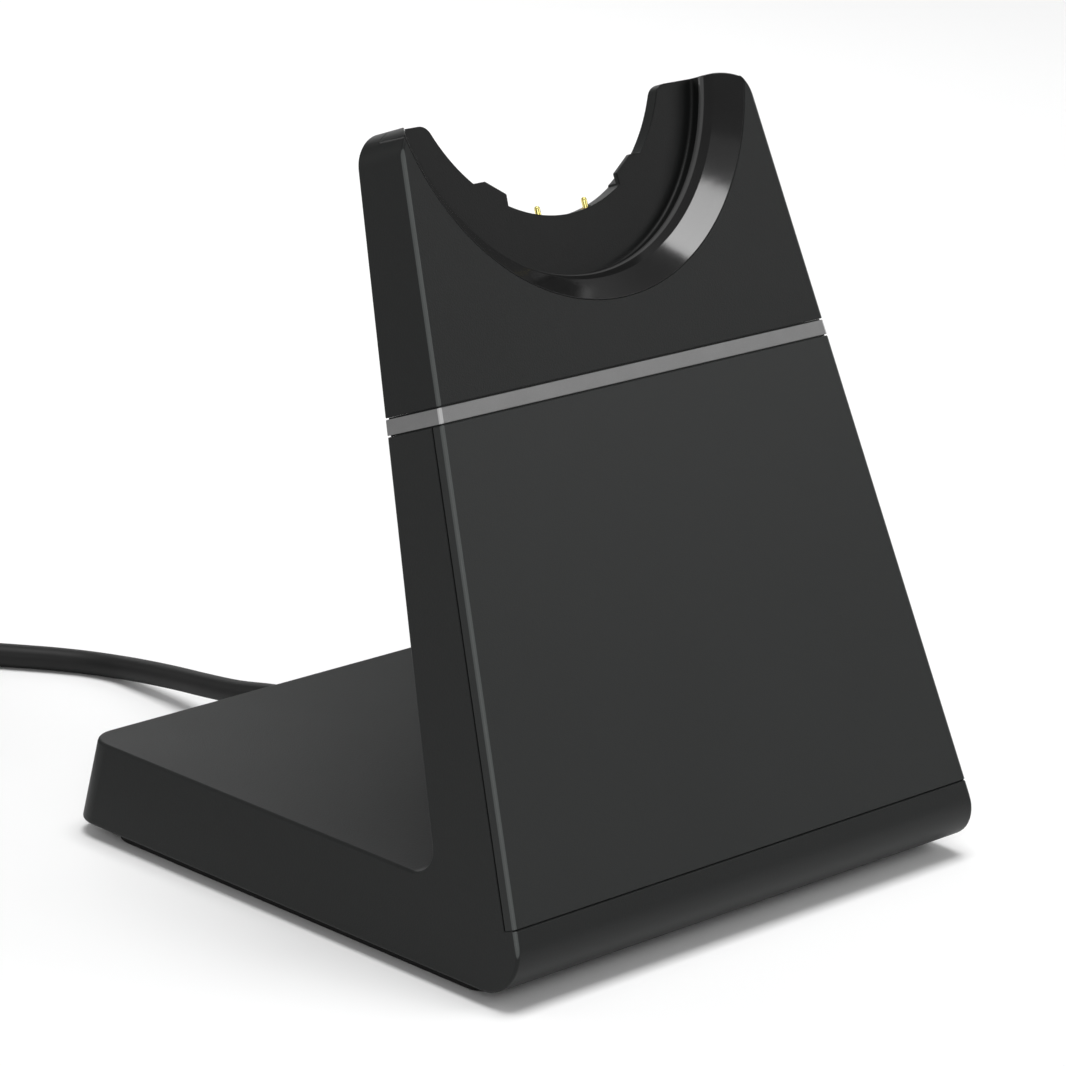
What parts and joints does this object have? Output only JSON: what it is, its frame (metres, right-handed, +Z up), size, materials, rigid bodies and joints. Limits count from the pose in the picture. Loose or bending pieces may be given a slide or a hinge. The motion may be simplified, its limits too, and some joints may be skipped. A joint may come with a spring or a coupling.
{
  "type": "headset charging stand",
  "caption": "L-shaped desk stand with a leaning upright, a round notched cradle with spring charging pins, and a USB cable wound up beside it.",
  "frame": {"origin": "centre of the stand's footprint, on the desk, cable left out", "axes": "+X to the stand's right, +Y to its back where the cable leaves, +Z up"},
  "size_m": [0.1543, 0.1753, 0.1074],
  "materials": {
    "housing": "fine moulded texture",
    "panel": "fine satin",
    "band": "satin grey",
    "ring": "polished black",
    "pin": "gold plated",
    "barrel": "gold plated",
    "spring": "drawn wire",
    "board": "solder mask",
    "chip": "moulded",
    "connector": "natural nylon",
    "wire": "insulation",
    "ballast": "zinc plated",
    "screw": "zinc plated",
    "plate": "moulded",
    "foot": "matt",
    "cable": "satin jacket",
    "tie": "woven",
    "plug_body": "overmould",
    "plug_shell": "nickel plated",
    "plug_tongue": "moulded, gilt contacts"
  },
  "bodies": {
    "stand": {"body_shell": "housing", "front_panel": "panel", "accent_band": "band", "head_shell": "housing", "cradle_ring": "ring", "pin_barrel_left": "barrel", "pin_barrel_right": "barrel", "pin_spring_left": "spring", "pin_spring_right": "spring", "contact_board": "board", "contact_wires": "wire", "ballast_plate": "ballast", "ballast_screws": "screw", "power_board": "board", "power_screws": "screw", "charge_chip": "chip", "cable_connector": "connector", "cable_clamp": "plate", "clamp_screws": "screw", "base_plate": "plate", "base_screws": "screw", "foot_pad": "foot", "strain_relief": "cable", "usb_cable": "cable", "usb_cable_coil": "cable", "cable_tie": "tie", "usb_plug_body": "plug_body", "usb_plug_shell": "plug_shell", "usb_plug_tongue": "plug_tongue"},
    "left_pin": {"pin_plunger_left": "pin"},
    "right_pin": {"pin_plunger_right": "pin"}
  },
  "joints": [
    {"name": "left_pin_press", "type": "slide", "parent": "stand", "child": "left_pin", "axis": [0, 0.3907, 0.9205], "range_m": [-0.001, 0], "stiffness_N_per_m": 600, "springref_m": 0.0003, "deforming": ["pin_spring_left"]},
    {"name": "right_pin_press", "type": "slide", "parent": "stand", "child": "right_pin", "axis": [0, 0.3907, 0.9205], "range_m": [-0.001, 0], "stiffness_N_per_m": 600, "springref_m": 0.0003, "deforming": ["pin_spring_right"]}
  ]
}
